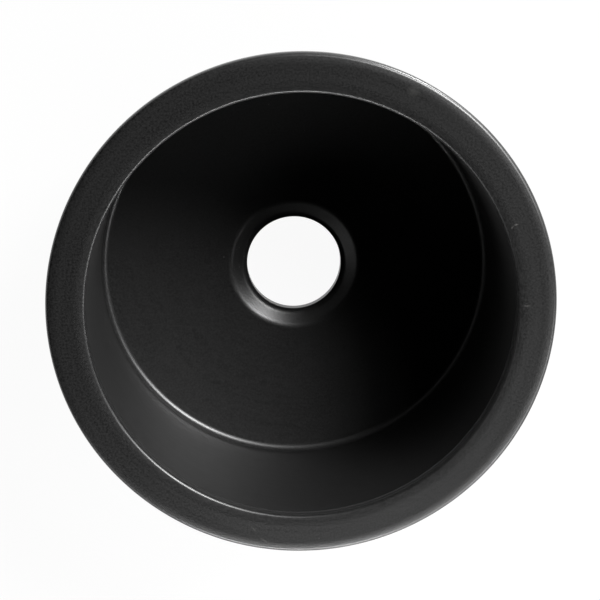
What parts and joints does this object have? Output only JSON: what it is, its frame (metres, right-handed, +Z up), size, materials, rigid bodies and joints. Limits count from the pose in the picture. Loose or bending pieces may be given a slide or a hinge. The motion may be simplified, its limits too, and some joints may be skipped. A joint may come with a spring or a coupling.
{
  "type": "prep sink",
  "caption": "Round drop-in prep sink in satin black composite stone, with a flat rim, a deep bowl, an open drain outlet, and swing-out claws on studs that clamp it to a worktop.",
  "frame": {"origin": "centre of the drain boss's lower face, on which the sink stands", "axes": "+Z up along the axis of the bowl and the drain, +X through the first fixing station"},
  "size_m": [0.43, 0.43, 0.21],
  "materials": {
    "composite": "satin",
    "seal_rubber": "matte",
    "brass": "satin",
    "zinc_steel": "satin"
  },
  "bodies": {
    "sink": {"bowl": "composite", "rim_seal": "seal_rubber", "insert_1": "brass", "stud_1": "zinc_steel", "insert_2": "brass", "stud_2": "zinc_steel", "insert_3": "brass", "stud_3": "zinc_steel", "insert_4": "brass", "stud_4": "zinc_steel", "insert_5": "brass", "stud_5": "zinc_steel", "insert_6": "brass", "stud_6": "zinc_steel"},
    "clamp_1": {"washer_1": "zinc_steel"},
    "claw_1": {"claw_1": "zinc_steel"},
    "nut_1": {"nut_1": "zinc_steel"},
    "clamp_2": {"washer_2": "zinc_steel"},
    "claw_2": {"claw_2": "zinc_steel"},
    "nut_2": {"nut_2": "zinc_steel"},
    "clamp_3": {"washer_3": "zinc_steel"},
    "claw_3": {"claw_3": "zinc_steel"},
    "nut_3": {"nut_3": "zinc_steel"},
    "clamp_4": {"washer_4": "zinc_steel"},
    "claw_4": {"claw_4": "zinc_steel"},
    "nut_4": {"nut_4": "zinc_steel"},
    "clamp_5": {"washer_5": "zinc_steel"},
    "claw_5": {"claw_5": "zinc_steel"},
    "nut_5": {"nut_5": "zinc_steel"},
    "clamp_6": {"washer_6": "zinc_steel"},
    "claw_6": {"claw_6": "zinc_steel"},
    "nut_6": {"nut_6": "zinc_steel"}
  },
  "joints": [
    {"name": "clamp_lift_1", "type": "slide", "parent": "sink", "child": "clamp_1", "axis": [0, 0, 1], "range_m": [0, 0.025]},
    {"name": "nut_turn_1", "type": "hinge", "parent": "clamp_1", "child": "nut_1", "pos_m": [0.19875, 0, 0.1475], "axis": [0, 0, 1], "range_deg": [0, 9000]},
    {"name": "claw_swing_1", "type": "hinge", "parent": "clamp_1", "child": "claw_1", "pos_m": [0.19875, 0, 0.1475], "axis": [0, 0, 1], "range_deg": [0, 94]},
    {"name": "clamp_lift_2", "type": "slide", "parent": "sink", "child": "clamp_2", "axis": [0, 0, 1], "range_m": [0, 0.025]},
    {"name": "nut_turn_2", "type": "hinge", "parent": "clamp_2", "child": "nut_2", "pos_m": [0.09938, 0.17212, 0.1475], "axis": [0, 0, 1], "range_deg": [0, 9000]},
    {"name": "claw_swing_2", "type": "hinge", "parent": "clamp_2", "child": "claw_2", "pos_m": [0.09938, 0.17212, 0.1475], "axis": [0, 0, 1], "range_deg": [0, 94]},
    {"name": "clamp_lift_3", "type": "slide", "parent": "sink", "child": "clamp_3", "axis": [0, 0, 1], "range_m": [0, 0.025]},
    {"name": "nut_turn_3", "type": "hinge", "parent": "clamp_3", "child": "nut_3", "pos_m": [-0.09938, 0.17212, 0.1475], "axis": [0, 0, 1], "range_deg": [0, 9000]},
    {"name": "claw_swing_3", "type": "hinge", "parent": "clamp_3", "child": "claw_3", "pos_m": [-0.09938, 0.17212, 0.1475], "axis": [0, 0, 1], "range_deg": [0, 94]},
    {"name": "clamp_lift_4", "type": "slide", "parent": "sink", "child": "clamp_4", "axis": [0, 0, 1], "range_m": [0, 0.025]},
    {"name": "nut_turn_4", "type": "hinge", "parent": "clamp_4", "child": "nut_4", "pos_m": [-0.19875, 0, 0.1475], "axis": [0, 0, 1], "range_deg": [0, 9000]},
    {"name": "claw_swing_4", "type": "hinge", "parent": "clamp_4", "child": "claw_4", "pos_m": [-0.19875, 0, 0.1475], "axis": [0, 0, 1], "range_deg": [0, 94]},
    {"name": "clamp_lift_5", "type": "slide", "parent": "sink", "child": "clamp_5", "axis": [0, 0, 1], "range_m": [0, 0.025]},
    {"name": "nut_turn_5", "type": "hinge", "parent": "clamp_5", "child": "nut_5", "pos_m": [-0.09938, -0.17212, 0.1475], "axis": [0, 0, 1], "range_deg": [0, 9000]},
    {"name": "claw_swing_5", "type": "hinge", "parent": "clamp_5", "child": "claw_5", "pos_m": [-0.09938, -0.17212, 0.1475], "axis": [0, 0, 1], "range_deg": [0, 94]},
    {"name": "clamp_lift_6", "type": "slide", "parent": "sink", "child": "clamp_6", "axis": [0, 0, 1], "range_m": [0, 0.025]},
    {"name": "nut_turn_6", "type": "hinge", "parent": "clamp_6", "child": "nut_6", "pos_m": [0.09938, -0.17212, 0.1475], "axis": [0, 0, 1], "range_deg": [0, 9000]},
    {"name": "claw_swing_6", "type": "hinge", "parent": "clamp_6", "child": "claw_6", "pos_m": [0.09938, -0.17212, 0.1475], "axis": [0, 0, 1], "range_deg": [0, 94]}
  ],
  "couplings": [
    {"joint": "nut_turn_1", "follows": "clamp_lift_1", "rad_per_m": 6283.2},
    {"joint": "nut_turn_2", "follows": "clamp_lift_2", "rad_per_m": 6283.2},
    {"joint": "nut_turn_3", "follows": "clamp_lift_3", "rad_per_m": 6283.2},
    {"joint": "nut_turn_4", "follows": "clamp_lift_4", "rad_per_m": 6283.2},
    {"joint": "nut_turn_5", "follows": "clamp_lift_5", "rad_per_m": 6283.2},
    {"joint": "nut_turn_6", "follows": "clamp_lift_6", "rad_per_m": 6283.2}
  ]
}
